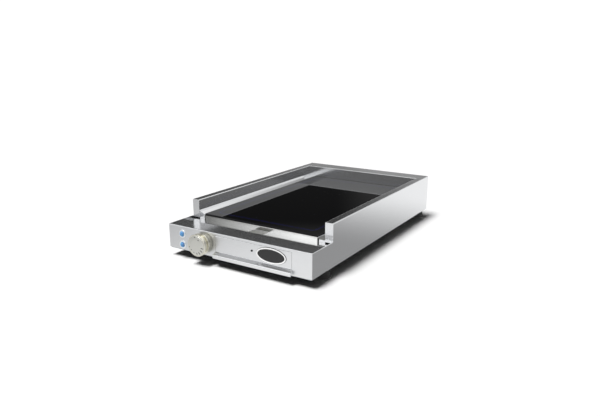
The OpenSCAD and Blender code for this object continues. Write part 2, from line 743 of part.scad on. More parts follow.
// Knob: a dial cap on a waisted body with one thin flange, which hides the bracket screws
// How far along the body from the fascia, and how far out from the waist to the rim
knob_side_shares = [[0, 0], [0.26, 0], [0.3, 0.86], [0.37, 0.86], [0.41, 0], [0.7, 0], [0.78, 0.2],
                    [0.84, 0.58], [0.87, 1], [0.965, 1], [1, 0.9]];
waist_share = 0.84;
hollow_share = 0.6;
cap_share = 0.9;
cap_flat_share = 0.62;
cap_t = 4;
cap_seat = 2;
cap_fall = 1.2;
cap_round = 0.5;
module spindle_bore() {
    run_y(knob_plate - knob_reach, cut)
        translate([knob_x, knob_z]) spindle_outline(spindle_d / 2 + turning);
}
module knob_body() placed() color([0.77, 0.77, 0.74]) {
    r = knob_d / 2;
    back = -knob_gap;
    front = cap_t - cap_seat - knob_reach;
    span = back - front;
    w = r * waist_share;
    floor_y = span * hollow_share - back;
    difference() {
        translate([knob_x, 0, knob_z]) rotate([90, 0, 0]) rotate_extrude() polygon(concat(
            [[0, floor_y], [w - knob_wall, floor_y], [w - knob_wall, -back]],
            [for (s = knob_side_shares) [w + (r - w) * s[1], span * s[0] - back]],
            [[0, -front]]));
        post_y(knob_x, knob_z, -knob_reach, cap_t - knob_reach, r * cap_share + turning);
        spindle_bore();
    }
    difference() {
        post_y(knob_x, knob_z, front + knob_wall, back, boss_d / 2);
        spindle_bore();
    }
}
module knob_cap() placed() color([0.8, 0.8, 0.77]) {
    r = knob_d / 2 * cap_share;
    translate([knob_x, cap_t - knob_reach, knob_z]) rotate([90, 0, 0]) rotate_extrude() polygon([
        [0, 0], [r, 0], [r, cap_t - cap_fall - cap_round], [r - cap_round, cap_t - cap_fall],
        [r * cap_flat_share, cap_t], [0, cap_t]]);
}

// Pilot lamps
bezel_h = 1.8;
lens_h = 4.4;
lamp_nut_d = 20;
lamp_nut_h = 3;
function lamp_height(i) = lamp_z + i * lamp_pitch;
module lamp_body(i) placed() color("whitesmoke") {
    r = bezel_d / 2;
    translate([lamp_x, 0, lamp_height(i)]) rotate([90, 0, 0]) difference() {
        union() {
            rotate_extrude() polygon(concat(
                [[0, 0], [r, 0], [r, bezel_h * 0.4]],
                arc([r - bezel_h * 0.6, bezel_h * 0.4], bezel_h * 0.6, 0, 90, bend_steps),
                [[0, bezel_h]]));
            translate([0, 0, -lamp_l]) cylinder(h = lamp_l, r = lens_d / 2);
            for (s = [-1, 1]) {
                translate([s * lens_d / 4 - sheet_t, -sheet_t / 2, -lamp_l - sheet_t * 6])
                    cube([sheet_t * 2, sheet_t, sheet_t * 6]);
            }
        }
        translate([0, 0, bezel_h * 0.3]) cylinder(h = bezel_h, r = lens_d / 2);
    }
}
module lamp_lens(i) placed() color([0.25, 0.55, 0.85]) {
    r = lens_d / 2 - turning;
    sphere_r = (r * r + lens_h * lens_h) / (2 * lens_h);
    sweep = asin(r / sphere_r);
    translate([lamp_x, 0, lamp_height(i)]) rotate([90, 0, 0]) rotate_extrude() polygon(concat(
        [[0, bezel_h * 0.3], [r, bezel_h * 0.3]],
        arc([0, bezel_h + lens_h - sphere_r], sphere_r, 90 - sweep, 90, 6)));
}
module lamp_nuts() placed() color("silver") {
    for (i = [0, 1]) {
        difference() {
            post_y(lamp_x, lamp_height(i), sheet_t, sheet_t + lamp_nut_h, lamp_nut_d / 2);
            post_y(lamp_x, lamp_height(i), 0, sheet_t + lamp_nut_h + cut, lens_d / 2 + turning);
        }
    }
}

// Grease drawer: front, handle and tray slide out together
screw_gap = 12.75;
screw_x = drawer_x + badge_x - badge_w / 2 - screw_gap;
front_fold = 8;
module drawer_front() placed() color("gainsboro") {
    half = sheet_t / 2;
    high = drawer_top - seam;
    path = [[front_fold, high - half], [half, high - half], [half, handle_z + bend_r + loose]];
    difference() {
        run_x(drawer_x + seam, drawer_x + drawer_w - seam) polygon(sheet_outline(path, sheet_t, bend_r));
        post_y(screw_x, drawer_screw_z, -cut, sheet_t + cut, drawer_screw_d / 2 + loose);
    }
}
handle_in = 11;
module drawer_handle() placed() color("gainsboro") {
    half = sheet_t / 2;
    back = sheet_t + half;
    path = [[back, handle_z + handle_in], [back, handle_z], [half - handle_reach, handle_z - handle_drop],
            [half - handle_reach, loose]];
    difference() {
        run_x(drawer_x - handle_over, drawer_x + drawer_w + handle_over)
            polygon(sheet_outline(path, sheet_t, bend_r));
        for (x = [drawer_x - handle_over - cut, drawer_x + drawer_w - seam]) {
            box_at([x, -loose, -cut], [x + handle_over + seam + cut, handle_in, handle_z + handle_in + cut]);
        }
    }
}
tray_in = 2;
tab_w = 30;
module tray_rect(inset) {
    soft_rect([drawer_x + tray_in + rim_w + inset, 2 * sheet_t + inset],
              [drawer_x + drawer_w - tray_in - rim_w - inset, tray_d - inset], tray_r - inset);
}
module drawer_tray() placed() color("lightgray") {
    half = tray_t / 2;
    difference() {
        union() {
            run_z(tray_z, tray_z + tray_h) tray_rect(0);
            run_z(tray_z + tray_h - tray_t, tray_z + tray_h) difference() {
                soft_rect([drawer_x + tray_in, 2 * sheet_t],
                          [drawer_x + drawer_w - tray_in, tray_d + rim_w], tray_r);
            }
        }
        run_z(tray_z + tray_t, tray_z + tray_h + cut) tray_rect(tray_t);
    }
    difference() {
        run_x(screw_x - tab_w / 2, screw_x + tab_w / 2) polygon(sheet_outline([
            [2 * sheet_t + half, tray_z + tray_h - 3 * sheet_t],
            [2 * sheet_t + half, tray_z + tray_h + half],
            [sheet_t + half, tray_z + tray_h + sheet_t],
            [sheet_t + half, drawer_screw_z + drawer_screw_d * 2]], tray_t, half));
        post_y(screw_x, drawer_screw_z, 0, 2 * sheet_t + tray_t + cut, drawer_screw_d / 2 + loose);
    }
}
module drawer_screw() placed() color("dimgray") {
    post_y(screw_x, drawer_screw_z, -drawer_screw_d * 0.4, 0, drawer_screw_d * 0.75);
    post_y(screw_x, drawer_screw_z, 0, sheet_t + tray_t + drawer_screw_d * 1.2, drawer_screw_d / 2);
}
module drawer_nut() placed() color("silver") {
    y = sheet_t + tray_t;
    difference() {
        translate([screw_x, y, drawer_screw_z]) rotate([-90, 0, 0])
            cylinder(h = drawer_screw_d * 0.8, r = drawer_screw_d, $fn = 6);
        post_y(screw_x, drawer_screw_z, y - cut, y + drawer_screw_d, drawer_screw_d / 2 + turning);
    }
}
badge_steps = 56;
module badge_rim() placed() color("white") {
    translate([drawer_x + badge_x, 0, badge_z]) difference() {
        run_y(-badge_t, 0) polygon(oval(badge_w, badge_h, badge_steps));
        run_y(-badge_t - cut, -badge_t / 2)
            polygon(oval(badge_w - 2 * badge_rim_w, badge_h - 2 * badge_rim_w, badge_steps));
    }
}
module badge_field() placed() color("black") {
    w = badge_rim_w + turning;
    translate([drawer_x + badge_x, 0, badge_z])
        run_y(-badge_t * 0.9, -badge_t / 2) polygon(oval(badge_w - 2 * w, badge_h - 2 * w, badge_steps));
}
runner_l = tray_d + runner_end;
runner_screw_in = 12;
runner_screw_y = [fold_w + runner_screw_in, runner_l - runner_screw_in];
runner_foot_w = 14;
function runner_foot_x(i) = i == 0
    ? drawer_x + tray_in + rim_w - runner_foot_w / 2
    : drawer_x + drawer_w - tray_in - rim_w + runner_foot_w / 2;
module runner() {
    half = sheet_t / 2;
    web = drawer_x + tray_in + rim_w;
    z_path = [[web - runner_foot_w, half], [web + half, half], [web + half, shelf_z - half],
              [web + shelf_w, shelf_z - half]];
    l_path = [[web + half, sheet_t + loose], [web + half, shelf_z - half], [web + shelf_w, shelf_z - half]];
    difference() {
        union() {
            run_y(fold_w + loose, runner_l) polygon(sheet_outline(z_path, sheet_t, bend_r));
            run_y(sheet_t + runner_gap, fold_w + 2 * loose) polygon(sheet_outline(l_path, sheet_t, bend_r));
        }
        for (y = runner_screw_y) {
            post_z(runner_foot_x(0), y, -cut, sheet_t + cut, base_screw_d / 2);
        }
    }
}
module runner_left() placed() color("silver") {
    runner();
}
module runner_right() placed() color("silver") {
    translate([2 * drawer_x + drawer_w, 0, 0]) mirror([1, 0, 0]) runner();
}

// Feet
foot_recess_d = 16;
foot_recess_h = 8;
foot_lip = 2;
foot_places = [[foot_in, foot_front_y], [body_w - foot_in, foot_front_y],
               [foot_in, body_d - foot_rear_in], [body_w - foot_in, body_d - foot_rear_in]];
module foot(i) placed() color([0.09, 0.09, 0.09]) {
    bore = foot_screw_d / 2 + loose;
    lip = foot_lip;
    translate([foot_places[i][0], foot_places[i][1], -foot_h]) rotate_extrude() polygon([
        [foot_recess_d / 2, 0], [foot_bottom_d / 2 - lip / 2, 0], [foot_bottom_d / 2, lip / 2],
        [foot_bottom_d / 2, lip * 1.5], [foot_bottom_d / 2 - lip, lip * 2],
        [foot_top_d / 2, foot_l - lip / 2], [foot_top_d / 2 - lip / 2, foot_l],
        [bore, foot_l], [bore, foot_recess_h], [foot_recess_d / 2, foot_recess_h]]);
}
module foot_screws() placed() color("silver") {
    for (p = foot_places) {
        translate([p[0], p[1], -foot_h + foot_recess_h]) {
            translate([0, 0, -foot_screw_d * 0.6]) cylinder(h = foot_screw_d * 0.6, r = foot_screw_d * 0.9);
            cylinder(h = foot_h - foot_recess_h + sheet_t + foot_screw_d, r = foot_screw_d / 2);
        }
    }
}
module foot_nuts() placed() color("silver") {
    for (p = foot_places) {
        difference() {
            translate([p[0], p[1], sheet_t])
                cylinder(h = foot_screw_d * 0.8, r = foot_screw_d * 0.95, $fn = 6);
            post_z(p[0], p[1], sheet_t - cut, sheet_t + foot_screw_d, foot_screw_d / 2 + turning);
        }
    }
}

// Mains inlet
gland_hex = 22;
gland_flange = 3;
module cable_gland() placed() color([0.12, 0.12, 0.12]) {
    difference() {
        union() {
            translate([gland_x, body_d, gland_z]) rotate([-90, 0, 0]) {
                cylinder(h = gland_flange, r = gland_hex / 2);
                translate([0, 0, gland_flange]) cylinder(h = gland_out * 0.35, r = gland_hex / 2, $fn = 6);
                translate([0, 0, gland_flange + gland_out * 0.35]) cylinder(
                    h = gland_out * 0.65 - gland_flange, r1 = gland_hex * 0.44, r2 = gland_bore * 0.75);
            }
            post_y(gland_x, gland_z, body_d - sheet_t - gland_flange * 4, body_d, gland_thread / 2);
        }
        post_y(gland_x, gland_z, body_d - gland_hex * 2, body_d + gland_out + cut, gland_bore / 2);
        post_y(gland_x, gland_z, body_d - gland_hex * 2, body_d - sheet_t, gland_thread * 0.38);
    }
}
module gland_nut() placed() color([0.12, 0.12, 0.12]) {
    y = body_d - sheet_t - gland_flange * 1.5;
    difference() {
        translate([gland_x, y, gland_z]) rotate([-90, 0, 0])
            cylinder(h = gland_flange * 1.5, r = gland_hex * 0.6, $fn = 6);
        post_y(gland_x, gland_z, y - cut, body_d, gland_thread / 2 + turning);
    }
}
module gland_seal() placed() color("dimgray") {
    y = body_d - sheet_t - gland_flange * 3;
    difference() {
        post_y(gland_x, gland_z, y, y + gland_flange * 2, gland_thread * 0.38 - turning);
        post_y(gland_x, gland_z, y - cut, body_d, gland_bore / 2);
    }
}
block_size = [48, 22, 16];
block_x = 86;
block_in = 72;
module terminal_block() placed() color("ivory") {
    pitch = block_size[0] / 3;
    translate([block_x, body_d - block_in, 0]) difference() {
        union() {
            cube([block_size[0], block_size[1], block_size[2] * 0.5]);
            for (k = [0 : 2]) {
                translate([(k + 0.12) * pitch, 0, block_size[2] * 0.5 - cut])
                    cube([pitch * 0.76, block_size[1], block_size[2] * 0.5 + cut]);
            }
        }
        for (k = [0 : 2], y = [0.28, 0.72]) {
            translate([(k + 0.5) * pitch, block_size[1] * y, block_size[2] * 0.6])
                cylinder(h = block_size[2], r = pitch * 0.16);
        }
    }
}
earth_x = 52;
earth_in = 60;
earth_y = body_d - earth_in;
earth_d = 5;
earth_l = 16;
earth_head = 1.2;
module earth_stud() placed() color("gold") {
    translate([earth_x, earth_y, -sheet_t]) {
        cylinder(h = earth_l, r = earth_d / 2);
        translate([0, 0, -earth_head]) cylinder(h = earth_head, r = earth_d);
        translate([0, 0, sheet_t]) cylinder(h = earth_d * 0.8, r = earth_d * 0.9, $fn = 6);
    }
}

front_panel();
side_shell_left();
side_shell_right();
rear_shell();
base_plate();
glass_plate();
glass_seal();
glass_frame();
drip_spout();
heater_dish(0);  // heater_dish_front
heater_dish(1);  // heater_dish_rear
heater_bed(0);  // heater_bed_front
heater_bed(1);  // heater_bed_rear
heater_ribbon(0);  // heater_ribbon_front
heater_ribbon(1);  // heater_ribbon_rear
heat_limiter(0);  // heat_limiter_front
heat_limiter(1);  // heat_limiter_rear
heater_strap(0);  // heater_strap_1
heater_strap(1);  // heater_strap_2
heater_strap(2);  // heater_strap_3
heater_strap(3);  // heater_strap_4
heater_springs();
thermostat_body();
thermostat_bracket();
thermostat_screws();
thermostat_spindle();
sensor_bulb();
bulb_clips();
knob_body();
knob_cap();
lamp_body(1);  // lamp_body_upper
lamp_body(0);  // lamp_body_lower
lamp_lens(1);  // lamp_lens_upper
lamp_lens(0);  // lamp_lens_lower
lamp_nuts();
drawer_front();
drawer_handle();
drawer_tray();
drawer_screw();
drawer_nut();
badge_rim();
badge_field();
runner_left();
runner_right();
foot(0);  // foot_front_left
foot(1);  // foot_front_right
foot(2);  // foot_rear_left
foot(3);  // foot_rear_right
foot_screws();
foot_nuts();
base_screws();
cable_gland();
gland_nut();
gland_seal();
terminal_block();
earth_stud();
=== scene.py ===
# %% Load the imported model
import math

import bmesh
import bpy
from mathutils import Matrix, Vector


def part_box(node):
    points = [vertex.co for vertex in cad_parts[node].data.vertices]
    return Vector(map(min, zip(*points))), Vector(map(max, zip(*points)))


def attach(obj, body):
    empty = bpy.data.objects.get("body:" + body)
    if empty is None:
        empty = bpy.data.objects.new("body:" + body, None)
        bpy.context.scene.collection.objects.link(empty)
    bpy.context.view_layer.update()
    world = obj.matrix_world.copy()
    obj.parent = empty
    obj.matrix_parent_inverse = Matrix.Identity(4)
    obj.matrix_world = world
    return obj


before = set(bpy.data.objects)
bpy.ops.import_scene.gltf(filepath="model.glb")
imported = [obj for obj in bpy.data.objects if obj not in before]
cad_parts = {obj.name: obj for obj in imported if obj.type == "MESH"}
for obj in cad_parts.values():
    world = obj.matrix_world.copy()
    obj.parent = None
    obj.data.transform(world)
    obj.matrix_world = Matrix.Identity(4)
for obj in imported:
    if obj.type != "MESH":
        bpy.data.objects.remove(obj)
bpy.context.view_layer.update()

# %% [markdown]
# # A counter-top griddle in stainless steel and black glass
#
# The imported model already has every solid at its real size. This script gives each one
# its finish, adds the print on the knob and some small trim, and sets up the camera and
# the light. Lengths are in metres. Sizes that come from the object are written in
# millimetres and multiplied by MM.

# %% Units and colour
MM = 0.001
PHOTO_W = 600
PHOTO_H = 416


def tint(code):
    """An sRGB hex colour as the linear RGBA that a shader takes."""
    parts = [int(code[i:i + 2], 16) / 255 for i in (1, 3, 5)]
    return (*[c / 12.92 if c <= 0.04045 else ((c + 0.055) / 1.055) ** 2.4 for c in parts], 1)


print("one unit is a metre; the camera frame is", PHOTO_W, "by", PHOTO_H)

# %% [markdown]
# ## Camera
#
# The place and lens come from lining up the body's straight edges with the photograph:
# the focal length is known in photo pixels, and a 36 mm sensor turns it into a lens.

# %% Camera
FOCAL_PX = 568
YAW = 32.38
PITCH = 15.28
CAMERA_AT = (0.7595, -1.2559, 0.4706)
SENSOR_MM = 36
camera_data = bpy.data.cameras.new("camera")
camera_data.sensor_width = SENSOR_MM
camera_data.lens = FOCAL_PX * SENSOR_MM / PHOTO_W
camera = bpy.data.objects.new("camera", camera_data)
camera.location = CAMERA_AT
camera.rotation_euler = (math.radians(90 - PITCH), 0, math.radians(YAW))
bpy.context.scene.collection.objects.link(camera)
bpy.context.scene.camera = camera
print("lens", round(camera_data.lens, 2), "mm")

# %% [markdown]
# ## Small tools for materials
#
# `add` puts one node in a tree, with its settings and links. `new_finish` starts a
# material with a Principled shader. `pattern` makes a noise whose size is given in
# millimetres on the object, and which can be drawn out along one axis, because brushing,
# rolling and moulding each leave marks of a known size and direction. `math_of` is one
# sum on values, and `ramp` a soft step between two of them.


# %% Node helpers
def add(tree, kind, inputs=None, **settings):
    made = tree.nodes.new("ShaderNode" + kind)
    for name, value in settings.items():
        setattr(made, name, value)
    for name, value in (inputs or {}).items():
        if isinstance(value, bpy.types.NodeSocket):
            tree.links.new(value, made.inputs[name])
        else:
            made.inputs[name].default_value = value
    return made


def new_finish(name, **sockets):
    """A material with one Principled shader; a socket's name has _ for each space."""
    material = bpy.data.materials.new(name)
    material.use_nodes = True
    tree = material.node_tree
    tree.nodes.clear()
    shader = add(tree, "BsdfPrincipled", {k.replace("_", " "): v for k, v in sockets.items()})
    add(tree, "OutputMaterial", {"Surface": shader.outputs[0]})
    return material, tree, shader


def math_of(tree, operation, *values):
    """One Math node: an operation such as ADD on one, two or three values."""
    return add(tree, "Math", dict(enumerate(values)), operation=operation).outputs[0]


def ramp(tree, value, start, end, low, high):
    """A soft step from low at start to high at end."""
    ends = {"From Min": start, "From Max": end, "To Min": low, "To Max": high}
    step = add(tree, "MapRange", {"Value": value, **ends}, interpolation_type="SMOOTHSTEP")
    return step.outputs[0]


def pattern(tree, size_mm, stretch=(1, 1, 1), detail=2.0, kind="TexNoise"):
    """A noise or cell pattern size_mm wide; stretch draws it out along X, Y or Z."""
    place = add(tree, "TexCoord")
    scale = [1 / (size_mm * MM * s) for s in stretch]
    turned = add(tree, "Mapping", {"Vector": place.outputs["Object"], "Scale": scale})
    inputs = {"Vector": turned.outputs[0], "Scale": 1.0}
    if kind == "TexNoise":
        inputs["Detail"] = detail
    return add(tree, kind, inputs)


def spread(tree, value, low, high):
    """Maps a 0 to 1 pattern onto low to high."""
    return add(tree, "MapRange", {"Value": value, "To Min": low, "To Max": high}).outputs[0]


def blend_colours(tree, value, first, second):
    """The first hex colour where value is 0, the second where it is 1."""
    mix = add(tree, "Mix", {"Factor": value}, data_type="RGBA")
    mix.inputs[6].default_value = tint(first)
    mix.inputs[7].default_value = tint(second)
    return mix.outputs[2]


def feed(tree, shader, socket, value):
    """Links a value to one of the shader's sockets."""
    tree.links.new(value, shader.inputs[socket])


def raise_by(tree, shader, height, depth_mm):
    """Relief in the shader's normal; depth_mm is its height where the pattern is 1."""
    bump = add(tree, "Bump", {"Height": height, "Distance": depth_mm * MM, "Strength": 1.0})
    feed(tree, shader, "Normal", bump.outputs[0])


print("helpers ready")

# %% [markdown]
# ## Brushed stainless sheet
#
# Kitchen sheet is stainless steel brushed in one direction with a fine belt. Metal has no
# diffuse colour, so all that the eye gets is the room, blurred a little, and streaked
# along the grain. The real scratches are about 0.1 mm wide, too fine to show here, so
# they are drawn 0.5 mm wide and 60 times as long. The fascia and the rear wall are
# brushed from left to right, the side walls from front to back. The fascia and the
# drawer's front have a coarser grain than the strip on top. The gutter's lip has painted
# light in its colour: a painted shade, dark grey at its left end, that runs along X to a
# painted highlight, near white, at its right end.

# %% Stainless sheet
GRAIN_MM = 0.5
GRAIN_STRETCH = 60
GRAIN_DETAIL = 3.0
GRAIN_RELIEF_MM = 0.004
SMEAR_MM = 70
# the share by which the roughness varies either way
PATCHY = 0.25
SHEET_COLOUR = ("#d9dadb", "#cdced0")
# where along X the lip's colour turns from painted shade to painted highlight, in metres
LIP_ENDS = (-150 * MM, 120 * MM)


def brushed_steel(name, along, colour, roughness, coarser=0.0, fade=None):
    """coarser is added to the roughness of faces that look to the front or the back.

    The two colours mix with the grain, or, with fade, run between two places on X
    as painted light and shade.
    """
    material, tree, shader = new_finish(name, Metallic=1.0, Roughness=roughness)
    stretch = [GRAIN_STRETCH if axis == along else 1 for axis in "XYZ"]
    grain = pattern(tree, GRAIN_MM, stretch, GRAIN_DETAIL).outputs[0]
    smear = pattern(tree, SMEAR_MM).outputs[0]
    mixed = grain
    # painted light: the colour runs along X from the first colour to the second
    if fade:
        place = add(tree, "TexCoord").outputs["Object"]
        across = add(tree, "SeparateXYZ", {0: place}).outputs[0]
        ends = {"From Min": fade[0], "From Max": fade[1]}
        mixed = add(tree, "MapRange", {"Value": across, **ends}).outputs[0]
    feed(tree, shader, "Base Color", blend_colours(tree, mixed, *colour))
    half = math_of(tree, "MULTIPLY", math_of(tree, "ADD", grain, smear), 0.5)
    low, high = roughness * (1 - PATCHY), roughness * (1 + PATCHY)
    facing = add(tree, "SeparateXYZ", {0: add(tree, "NewGeometry").outputs["Normal"]}).outputs[1]
    upright = math_of(tree, "ABSOLUTE", facing)
    blur = math_of(tree, "MULTIPLY_ADD", upright, coarser, spread(tree, half, low, high))
    feed(tree, shader, "Roughness", blur)
    raise_by(tree, shader, grain, GRAIN_RELIEF_MM)
    return material


steel_front = brushed_steel("stainless_front", "X", SHEET_COLOUR, 0.17, coarser=0.15)
steel_across = brushed_steel("stainless_brushed_across", "X", SHEET_COLOUR, 0.15)
steel_along = brushed_steel("stainless_brushed_along", "Y", SHEET_COLOUR, 0.15)
steel_mill = brushed_steel("stainless_mill_finish", "X", ("#cfcfcc", "#bebebb"), 0.26)
# the lip: painted shade, dark grey, at its left end and a painted highlight at its right end
steel_lip = brushed_steel("stainless_lip_painted_fade", "X", ("#757573", "#e6e6e4"), 0.2, fade=LIP_ENDS)
steel_spout = brushed_steel("stainless_pickled", "Z", ("#e2e2df", "#d6d6d3"), 0.6)
print("six stainless finishes")

# %% [markdown]
# ## Black glass-ceramic
#
# The plate is rolled glass-ceramic, dyed black in the melt and polished. Its face is
# almost a mirror at a low angle and black from above, which a dielectric with an IOR of
# about 1.5 gives by itself. Its reflection is set about a third weaker, to match the
# photograph. A thin dark blue line is printed round the heated field. It is drawn from
# the distance to a rectangle with round corners, so it needs no picture.

# %% Glass-ceramic plate
PRINT_IN = 23 * MM
PRINT_R = 12 * MM
PRINT_W = 0.8 * MM
POLISH = (0.015, 0.045)
POLISH_MM = 90
plate_low, plate_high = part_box("glass_plate")
plate_mid = (plate_low + plate_high) / 2


def printed_outline(tree):
    """1 on a line that runs PRINT_IN inside the plate's edge, with corners of PRINT_R."""
    place = add(tree, "TexCoord").outputs["Object"]
    centred = add(tree, "VectorMath", {0: place, 1: plate_mid}, operation="SUBTRACT").outputs[0]
    folded = add(tree, "VectorMath", {0: centred}, operation="ABSOLUTE").outputs[0]
    reach = (plate_high - plate_low) / 2 - Vector((PRINT_IN + PRINT_R,) * 3)
    past = add(tree, "VectorMath", {0: folded, 1: reach}, operation="SUBTRACT").outputs[0]
    axes = add(tree, "SeparateXYZ", {0: past}).outputs
    inside = math_of(tree, "MINIMUM", math_of(tree, "MAXIMUM", axes[0], axes[1]), 0.0)
    flat = add(tree, "CombineXYZ", {0: axes[0], 1: axes[1]}).outputs[0]
    corner = add(tree, "VectorMath", {0: flat, 1: (0, 0, 0)}, operation="MAXIMUM").outputs[0]
    length = add(tree, "VectorMath", {0: corner}, operation="LENGTH").outputs["Value"]
    off = math_of(tree, "SUBTRACT", math_of(tree, "ADD", length, inside), PRINT_R)
    return math_of(tree, "LESS_THAN", math_of(tree, "ABSOLUTE", off), PRINT_W / 2)


glass_ceramic, tree, shader = new_finish("glass_ceramic_black", Roughness=0.04, IOR=1.5,
                                         Specular_IOR_Level=0.32)
feed(tree, shader, "Base Color", blend_colours(tree, printed_outline(tree), "#030304", "#23237a"))
feed(tree, shader, "Roughness", spread(tree, pattern(tree, POLISH_MM).outputs[0], *POLISH))
print("plate", [round(x / MM, 1) for x in plate_high - plate_low], "mm")

# %% [markdown]
# ## The other finishes
#
# Most of the rest are moulded, plated or rolled, and differ in colour, shine and the size
# of their marks. One table says what each is, and one loop builds them: two close
# colours mixed by a pattern, a roughness that follows it, and a little relief.

# %% Table of plain finishes
# name: colour, second colour, metallic, roughness, mark in mm, relief in mm
FINISHES = {
    "silicone_black": ("#0b0b0c", "#161617", 0.0, 0.45, 1.5, 0.01),
    "rubber_matt_black": ("#0c0c0c", "#191918", 0.0, 0.72, 0.8, 0.02),
    "nylon_black": ("#101011", "#1b1b1c", 0.0, 0.42, 0.6, 0.01),
    "phenolic_brown": ("#1c120d", "#2b1d15", 0.0, 0.4, 1.2, 0.01),
    "knob_satin_plated": ("#c9c7bb", "#d2d0c5", 1.0, 0.2, 6.0, 0.001),
    "dial_disc_satin": ("#c6c6c0", "#cdcdc7", 1.0, 0.34, 0.5, 0.002),
    "dial_ink": ("#2e2e2b", "#3a3a36", 0.0, 0.5, 0.4, 0.002),
    "bezel_chromed_plastic": ("#e8ecee", "#dfe4e7", 1.0, 0.1, 8.0, 0.001),
    "badge_rim_bright": ("#f2f2f2", "#ececec", 1.0, 0.22, 3.0, 0.001),
    "badge_print_black": ("#0b0c0d", "#121314", 0.0, 0.34, 1.0, 0.004),
    # a darker steel: painted shade on the right upper tab, in the hollow under the cove
    "weld_dulled_steel": ("#7e7e7c", "#6e6e6c", 1.0, 0.42, 2.0, 0.004),
    # blackened steel for the drawer's screw, and painted shadow for the ring round the badge
    "screw_blackened": ("#1b1b1c", "#2a2a2b", 0.8, 0.42, 0.5, 0.006),
    "zinc_plate_bright": ("#c3c7cb", "#aeb2b7", 1.0, 0.26, 1.4, 0.003),
    "spring_steel_blued": ("#3a4150", "#5a5248", 1.0, 0.32, 3.0, 0.003),
    "ribbon_oxidised": ("#4a3a31", "#2c2522", 0.7, 0.55, 1.0, 0.01),
    "aluminised_pressing": ("#c9cac8", "#b3b4b3", 1.0, 0.38, 2.2, 0.006),
    "fibre_insulation": ("#ded5c0", "#c4b99f", 0.0, 0.92, 1.6, 0.12),
    "steatite_cream": ("#e6e0d0", "#d6cfbc", 0.0, 0.6, 0.5, 0.015),
    "copper_drawn": ("#b87455", "#9a5c40", 1.0, 0.3, 2.0, 0.004),
    "brass_turned": ("#c9a75a", "#ad8b42", 1.0, 0.24, 0.6, 0.004),
}
# the share by which the roughness varies either way
UNEVEN = 0.15
finish = {}
for name, (first, second, metallic, roughness, mark, relief) in FINISHES.items():
    material, tree, shader = new_finish(name, Metallic=metallic, Roughness=roughness)
    marks = pattern(tree, mark, detail=GRAIN_DETAIL).outputs[0]
    low, high = roughness * (1 - UNEVEN), min(1, roughness * (1 + UNEVEN))
    feed(tree, shader, "Base Color", blend_colours(tree, marks, first, second))
    feed(tree, shader, "Roughness", spread(tree, marks, low, high))
    raise_by(tree, shader, marks, relief)
    finish[name] = material
print(len(finish), "plain finishes")

# %% [markdown]
# ## Galvanised sheet and the blue lenses
#
# Hot-dip zinc freezes in flat crystals, the spangle, so the base plate is drawn with a
# cell pattern about 9 mm across, each cell with its own grey. The lamp lenses are blue
# clear plastic with a light behind them that is off, so they take a little light in.

# %% Galvanised sheet and lenses
SPANGLE_MM = 9
ZINC_ROUGHNESS = (0.34, 0.5)
RIPPLE_MM = 2.2
RIPPLE_RELIEF_MM = 0.02
galvanised, tree, shader = new_finish("galvanised_spangle", Metallic=1.0, Roughness=0.42)
cells = pattern(tree, SPANGLE_MM, kind="TexVoronoi")
grey = add(tree, "RGBToBW", {0: cells.outputs["Color"]}).outputs[0]
feed(tree, shader, "Base Color", blend_colours(tree, grey, "#8b9093", "#a9aeb1"))
feed(tree, shader, "Roughness", spread(tree, grey, *ZINC_ROUGHNESS))

lens_blue, tree, shader = new_finish("lens_blue_clear", Roughness=0.12, IOR=1.49,
                                     Subsurface_Weight=0.25)
ripple = pattern(tree, RIPPLE_MM).outputs[0]
feed(tree, shader, "Base Color", blend_colours(tree, ripple, "#4a90d2", "#6aa6dc"))
raise_by(tree, shader, ripple, RIPPLE_RELIEF_MM)
print("spangle", SPANGLE_MM, "mm")

# %% [markdown]
# ## Each solid gets its finish
#
# The solids keep their meshes, because their shapes are right: only the material in
# their first slot changes. A last check prints any solid that was left without one.

# %% Give the finishes out
STRAPS = ["heater_strap_%d" % k for k in (1, 2, 3, 4)]
FEET = ["foot_" + end + side for end in ("front_", "rear_") for side in ("left", "right")]
WORN_BY = [
    (steel_front, ["front_panel", "drawer_front"]),
    (steel_across, ["rear_shell", "drawer_handle"]),
    (steel_along, ["side_shell_left", "side_shell_right"]),
    (steel_lip, ["glass_frame"]),
    (steel_spout, ["drip_spout"]),
    (steel_mill, ["drawer_tray", "runner_left", "runner_right"] + STRAPS),
    (galvanised, ["base_plate", "thermostat_bracket"]),
    (glass_ceramic, ["glass_plate"]),
    (lens_blue, ["lamp_lens_upper", "lamp_lens_lower"]),
    (finish["silicone_black"], ["glass_seal"]),
    (finish["rubber_matt_black"], FEET + ["gland_seal"]),
    (finish["nylon_black"], ["cable_gland", "gland_nut"]),
    (finish["phenolic_brown"], ["thermostat_body"]),
    (finish["knob_satin_plated"], ["knob_body"]),
    (finish["dial_disc_satin"], ["knob_cap"]),
    (finish["bezel_chromed_plastic"], ["lamp_body_upper", "lamp_body_lower"]),
    (finish["badge_rim_bright"], ["badge_rim"]),
    (finish["badge_print_black"], ["badge_field"]),
    (finish["screw_blackened"], ["drawer_screw"]),
    (finish["zinc_plate_bright"], ["thermostat_screws", "base_screws", "foot_screws", "foot_nuts",
                                   "drawer_nut", "lamp_nuts", "thermostat_spindle"]),
    (finish["spring_steel_blued"], ["heater_springs", "bulb_clips"]),
    (finish["ribbon_oxidised"], ["heater_ribbon_front", "heater_ribbon_rear"]),
    (finish["aluminised_pressing"], ["heater_dish_front", "heater_dish_rear"]),
    (finish["fibre_insulation"], ["heater_bed_front", "heater_bed_rear"]),
    (finish["steatite_cream"], ["heat_limiter_front", "heat_limiter_rear", "terminal_block"]),
    (finish["copper_drawn"], ["sensor_bulb"]),
    (finish["brass_turned"], ["earth_stud"]),
]
dressed = set()
for material, names in WORN_BY:
    for name in names:
        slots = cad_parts[name].data.materials
        slots.clear()
        slots.append(material)
        dressed.add(name)
print("dressed", len(dressed), "solids; left bare:", sorted(set(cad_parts) - dressed))
